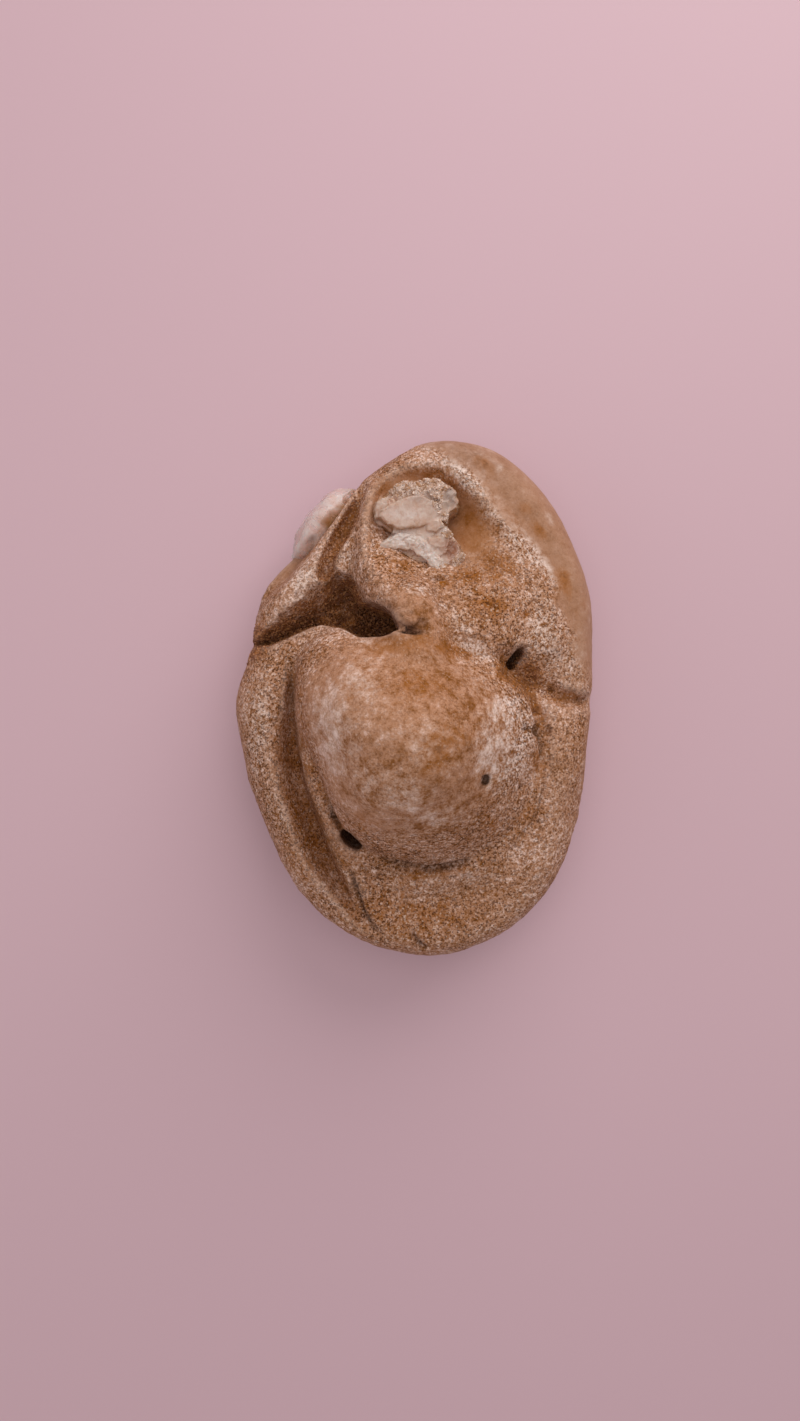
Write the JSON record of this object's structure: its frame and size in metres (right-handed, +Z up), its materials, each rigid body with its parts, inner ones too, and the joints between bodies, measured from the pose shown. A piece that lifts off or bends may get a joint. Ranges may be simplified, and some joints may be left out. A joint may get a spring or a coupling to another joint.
{
  "type": "fossil clam in sandstone",
  "caption": "Water-worn sandstone pebble holding the domed mould of a clam, with a rim groove, a deep cleft, a crystal-lined hollow and a milky crystal on its flank.",
  "frame": {"origin": "middle of the object's bounding box, on the surface that it lies on", "axes": "+Z up from the flat worn underside to the top of the dome, +Y along the stone from the dome to the crystal-lined hollow, +X across it, away from the groove and the flank crystal"},
  "size_m": [0.0392, 0.0568, 0.0281],
  "materials": {
    "sandstone": "fine grained sandstone, worn smooth, with rusty hollows",
    "milky_calcite": "milky white to honey calcite with flat shiny faces",
    "clear_calcite": "half clear calcite, worn smooth"
  },
  "bodies": {
    "root": {"fossil_stone": "sandstone", "hollow_crystals": "milky_calcite", "flank_crystal": "clear_calcite"}
  },
  "joints": []
}
